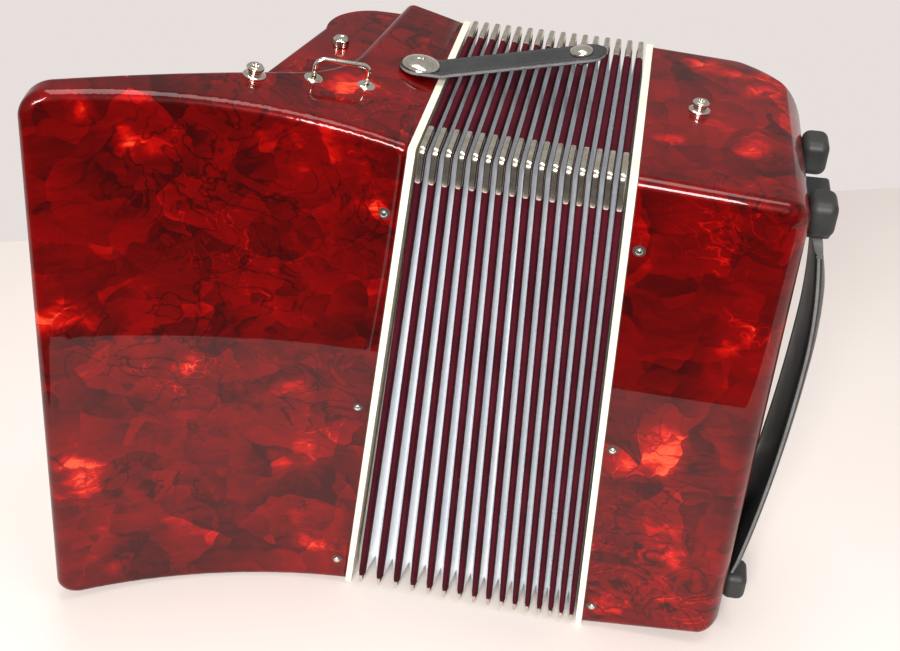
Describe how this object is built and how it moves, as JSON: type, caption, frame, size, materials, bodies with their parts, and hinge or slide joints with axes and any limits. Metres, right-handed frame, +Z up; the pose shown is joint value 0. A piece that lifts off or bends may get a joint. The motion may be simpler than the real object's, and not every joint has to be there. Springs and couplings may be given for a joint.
{
  "type": "piano accordion",
  "caption": "Small piano accordion standing on its end with its bellows fanned open: treble keyboard half, pleated bellows, bass half with button board, bellows strap and hand strap.",
  "frame": {"origin": "centre of the overall box on the floor the instrument stands on", "axes": "+Z up through the standing instrument, +X from the treble half to the bass half, -Y towards the player's side (the back)"},
  "size_m": [0.408, 0.2058, 0.3399],
  "materials": {
    "red_pearloid": "high-gloss red pearl celluloid",
    "ivory_strip": "gloss ivory",
    "ivory_key": "gloss",
    "ebony_key": "gloss",
    "nickel": "polished nickel",
    "steel_axle": "ground",
    "bellows_card": "silvery cloth-covered card with burgundy edge tape",
    "black_leather": "satin",
    "black_plastic": "satin",
    "foot_rubber": "matte",
    "button_pearl": "gloss",
    "inner_wood": "bare",
    "mechanism_metal": "bare"
  },
  "bodies": {
    "treble": {"treble_case": "red_pearloid", "treble_bellows_frame": "ivory_strip", "treble_soundboard": "inner_wood", "treble_reed_blocks": "inner_wood", "key_bed": "inner_wood", "key_axle": "steel_axle", "treble_grille": "red_pearloid", "grille_screws": "nickel", "treble_bellows_pins": "nickel", "treble_snap_stud": "nickel", "strap_bail": "nickel", "strap_screw": "nickel", "bellows_folds_treble_half": "bellows_card", "corner_guards_treble_half": "nickel"},
    "bellows_middle": {"bellows_middle_fold": "bellows_card"},
    "bass": {"bass_case": "red_pearloid", "bass_bellows_frame": "ivory_strip", "bass_button_board": "black_plastic", "bass_mechanism": "mechanism_metal", "bass_reed_block": "inner_wood", "bass_plate": "black_plastic", "bass_feet": "foot_rubber", "bass_strap": "black_leather", "strap_brackets": "black_plastic", "bass_bellows_pins": "nickel", "bass_snap_stud": "nickel", "bellows_folds_bass_half": "bellows_card", "corner_guards_bass_half": "nickel"},
    "bellows_strap": {"bellows_strap": "black_leather", "strap_snap_cap": "nickel"},
    "air_button": {"air_button": "black_plastic"},
    "white_key_01": {"white_key_01": "ivory_key"},
    "white_key_02": {"white_key_02": "ivory_key"},
    "white_key_03": {"white_key_03": "ivory_key"},
    "white_key_04": {"white_key_04": "ivory_key"},
    "white_key_05": {"white_key_05": "ivory_key"},
    "white_key_06": {"white_key_06": "ivory_key"},
    "white_key_07": {"white_key_07": "ivory_key"},
    "white_key_08": {"white_key_08": "ivory_key"},
    "white_key_09": {"white_key_09": "ivory_key"},
    "white_key_10": {"white_key_10": "ivory_key"},
    "white_key_11": {"white_key_11": "ivory_key"},
    "white_key_12": {"white_key_12": "ivory_key"},
    "white_key_13": {"white_key_13": "ivory_key"},
    "white_key_14": {"white_key_14": "ivory_key"},
    "white_key_15": {"white_key_15": "ivory_key"},
    "black_key_01": {"black_key_01": "ebony_key"},
    "black_key_02": {"black_key_02": "ebony_key"},
    "black_key_03": {"black_key_03": "ebony_key"},
    "black_key_04": {"black_key_04": "ebony_key"},
    "black_key_05": {"black_key_05": "ebony_key"},
    "black_key_06": {"black_key_06": "ebony_key"},
    "black_key_07": {"black_key_07": "ebony_key"},
    "black_key_08": {"black_key_08": "ebony_key"},
    "black_key_09": {"black_key_09": "ebony_key"},
    "black_key_10": {"black_key_10": "ebony_key"},
    "bass_buttons_root_row": {"bass_buttons_root_row": "button_pearl"},
    "bass_buttons_major_row": {"bass_buttons_major_row": "button_pearl"},
    "bass_buttons_minor_row": {"bass_buttons_minor_row": "button_pearl"},
    "bass_buttons_seventh_row": {"bass_buttons_seventh_row": "button_pearl"}
  },
  "joints": [
    {"name": "bellows_fan", "type": "hinge", "parent": "treble", "child": "bellows_middle", "pos_m": [-0.00306, 0.02507, 0.31019], "axis": [0, -1, 0], "range_deg": [-7.5, 12], "deforming": ["bellows_folds_treble_half", "corner_guards_treble_half"]},
    {"name": "bellows_open", "type": "slide", "parent": "bellows_middle", "child": "bass", "axis": [0.9995, 0, 0.0332], "range_m": [-0.014, 0.12], "deforming": ["bellows_folds_bass_half", "corner_guards_bass_half"]},
    {"name": "strap_lift", "type": "hinge", "parent": "treble", "child": "bellows_strap", "pos_m": [-0.00637, 0.02556, 0.3152], "axis": [0.1983, -0.9799, -0.0201], "range_deg": [-6, 60], "deforming": ["bellows_strap"]},
    {"name": "air_button_press", "type": "slide", "parent": "bass", "child": "air_button", "axis": [-0.9995, 0, -0.0332], "range_m": [0, 0.004], "stiffness_N_per_m": 300, "springref_m": -0.003},
    {"name": "bass_buttons_root_row_press", "type": "slide", "parent": "bass", "child": "bass_buttons_root_row", "axis": [-0.7067, -0.7071, -0.0234], "range_m": [0, 0.004], "stiffness_N_per_m": 400, "springref_m": -0.003},
    {"name": "bass_buttons_major_row_press", "type": "slide", "parent": "bass", "child": "bass_buttons_major_row", "axis": [-0.7067, -0.7071, -0.0234], "range_m": [0, 0.004], "stiffness_N_per_m": 400, "springref_m": -0.003},
    {"name": "bass_buttons_minor_row_press", "type": "slide", "parent": "bass", "child": "bass_buttons_minor_row", "axis": [-0.7067, -0.7071, -0.0234], "range_m": [0, 0.004], "stiffness_N_per_m": 400, "springref_m": -0.003},
    {"name": "bass_buttons_seventh_row_press", "type": "slide", "parent": "bass", "child": "bass_buttons_seventh_row", "axis": [-0.7067, -0.7071, -0.0234], "range_m": [0, 0.004], "stiffness_N_per_m": 400, "springref_m": -0.003},
    {"name": "white_key_01_press", "type": "hinge", "parent": "treble", "child": "white_key_01", "pos_m": [-0.10588, -0.02243, 0.0213], "axis": [0.1011, 0, 0.9949], "range_deg": [0, 1.7], "stiffness_Nm_per_rad": 2, "springref_deg": -3.44},
    {"name": "white_key_02_press", "type": "hinge", "parent": "treble", "child": "white_key_02", "pos_m": [-0.10382, -0.02243, 0.04159], "axis": [0.1011, 0, 0.9949], "range_deg": [0, 1.7], "stiffness_Nm_per_rad": 2, "springref_deg": -3.44},
    {"name": "white_key_03_press", "type": "hinge", "parent": "treble", "child": "white_key_03", "pos_m": [-0.10175, -0.02243, 0.06189], "axis": [0.1011, 0, 0.9949], "range_deg": [0, 1.7], "stiffness_Nm_per_rad": 2, "springref_deg": -3.44},
    {"name": "white_key_04_press", "type": "hinge", "parent": "treble", "child": "white_key_04", "pos_m": [-0.09969, -0.02243, 0.08218], "axis": [0.1011, 0, 0.9949], "range_deg": [0, 1.7], "stiffness_Nm_per_rad": 2, "springref_deg": -3.44},
    {"name": "white_key_05_press", "type": "hinge", "parent": "treble", "child": "white_key_05", "pos_m": [-0.09763, -0.02243, 0.10248], "axis": [0.1011, 0, 0.9949], "range_deg": [0, 1.7], "stiffness_Nm_per_rad": 2, "springref_deg": -3.44},
    {"name": "white_key_06_press", "type": "hinge", "parent": "treble", "child": "white_key_06", "pos_m": [-0.09557, -0.02243, 0.12278], "axis": [0.1011, 0, 0.9949], "range_deg": [0, 1.7], "stiffness_Nm_per_rad": 2, "springref_deg": -3.44},
    {"name": "white_key_07_press", "type": "hinge", "parent": "treble", "child": "white_key_07", "pos_m": [-0.09351, -0.02243, 0.14307], "axis": [0.1011, 0, 0.9949], "range_deg": [0, 1.7], "stiffness_Nm_per_rad": 2, "springref_deg": -3.44},
    {"name": "white_key_08_press", "type": "hinge", "parent": "treble", "child": "white_key_08", "pos_m": [-0.09145, -0.02243, 0.16337], "axis": [0.1011, 0, 0.9949], "range_deg": [0, 1.7], "stiffness_Nm_per_rad": 2, "springref_deg": -3.44},
    {"name": "white_key_09_press", "type": "hinge", "parent": "treble", "child": "white_key_09", "pos_m": [-0.08939, -0.02243, 0.18366], "axis": [0.1011, 0, 0.9949], "range_deg": [0, 1.7], "stiffness_Nm_per_rad": 2, "springref_deg": -3.44},
    {"name": "white_key_10_press", "type": "hinge", "parent": "treble", "child": "white_key_10", "pos_m": [-0.08732, -0.02243, 0.20396], "axis": [0.1011, 0, 0.9949], "range_deg": [0, 1.7], "stiffness_Nm_per_rad": 2, "springref_deg": -3.44},
    {"name": "white_key_11_press", "type": "hinge", "parent": "treble", "child": "white_key_11", "pos_m": [-0.08526, -0.02243, 0.22425], "axis": [0.1011, 0, 0.9949], "range_deg": [0, 1.7], "stiffness_Nm_per_rad": 2, "springref_deg": -3.44},
    {"name": "white_key_12_press", "type": "hinge", "parent": "treble", "child": "white_key_12", "pos_m": [-0.0832, -0.02243, 0.24455], "axis": [0.1011, 0, 0.9949], "range_deg": [0, 1.7], "stiffness_Nm_per_rad": 2, "springref_deg": -3.44},
    {"name": "white_key_13_press", "type": "hinge", "parent": "treble", "child": "white_key_13", "pos_m": [-0.08114, -0.02243, 0.26484], "axis": [0.1011, 0, 0.9949], "range_deg": [0, 1.7], "stiffness_Nm_per_rad": 2, "springref_deg": -3.44},
    {"name": "white_key_14_press", "type": "hinge", "parent": "treble", "child": "white_key_14", "pos_m": [-0.07908, -0.02243, 0.28514], "axis": [0.1011, 0, 0.9949], "range_deg": [0, 1.7], "stiffness_Nm_per_rad": 2, "springref_deg": -3.44},
    {"name": "white_key_15_press", "type": "hinge", "parent": "treble", "child": "white_key_15", "pos_m": [-0.07702, -0.02243, 0.30544], "axis": [0.1011, 0, 0.9949], "range_deg": [0, 1.7], "stiffness_Nm_per_rad": 2, "springref_deg": -3.44},
    {"name": "black_key_01_press", "type": "hinge", "parent": "treble", "child": "black_key_01", "pos_m": [-0.10485, -0.02243, 0.03145], "axis": [0.1011, 0, 0.9949], "range_deg": [0, 1.7], "stiffness_Nm_per_rad": 2, "springref_deg": -3.44},
    {"name": "black_key_02_press", "type": "hinge", "parent": "treble", "child": "black_key_02", "pos_m": [-0.10279, -0.02243, 0.05174], "axis": [0.1011, 0, 0.9949], "range_deg": [0, 1.7], "stiffness_Nm_per_rad": 2, "springref_deg": -3.44},
    {"name": "black_key_03_press", "type": "hinge", "parent": "treble", "child": "black_key_03", "pos_m": [-0.09866, -0.02243, 0.09233], "axis": [0.1011, 0, 0.9949], "range_deg": [0, 1.7], "stiffness_Nm_per_rad": 2, "springref_deg": -3.44},
    {"name": "black_key_04_press", "type": "hinge", "parent": "treble", "child": "black_key_04", "pos_m": [-0.0966, -0.02243, 0.11263], "axis": [0.1011, 0, 0.9949], "range_deg": [0, 1.7], "stiffness_Nm_per_rad": 2, "springref_deg": -3.44},
    {"name": "black_key_05_press", "type": "hinge", "parent": "treble", "child": "black_key_05", "pos_m": [-0.09454, -0.02243, 0.13292], "axis": [0.1011, 0, 0.9949], "range_deg": [0, 1.7], "stiffness_Nm_per_rad": 2, "springref_deg": -3.44},
    {"name": "black_key_06_press", "type": "hinge", "parent": "treble", "child": "black_key_06", "pos_m": [-0.09042, -0.02243, 0.17352], "axis": [0.1011, 0, 0.9949], "range_deg": [0, 1.7], "stiffness_Nm_per_rad": 2, "springref_deg": -3.44},
    {"name": "black_key_07_press", "type": "hinge", "parent": "treble", "child": "black_key_07", "pos_m": [-0.08836, -0.02243, 0.19381], "axis": [0.1011, 0, 0.9949], "range_deg": [0, 1.7], "stiffness_Nm_per_rad": 2, "springref_deg": -3.44},
    {"name": "black_key_08_press", "type": "hinge", "parent": "treble", "child": "black_key_08", "pos_m": [-0.08423, -0.02243, 0.2344], "axis": [0.1011, 0, 0.9949], "range_deg": [0, 1.7], "stiffness_Nm_per_rad": 2, "springref_deg": -3.44},
    {"name": "black_key_09_press", "type": "hinge", "parent": "treble", "child": "black_key_09", "pos_m": [-0.08217, -0.02243, 0.2547], "axis": [0.1011, 0, 0.9949], "range_deg": [0, 1.7], "stiffness_Nm_per_rad": 2, "springref_deg": -3.44},
    {"name": "black_key_10_press", "type": "hinge", "parent": "treble", "child": "black_key_10", "pos_m": [-0.08011, -0.02243, 0.27499], "axis": [0.1011, 0, 0.9949], "range_deg": [0, 1.7], "stiffness_Nm_per_rad": 2, "springref_deg": -3.44}
  ]
}
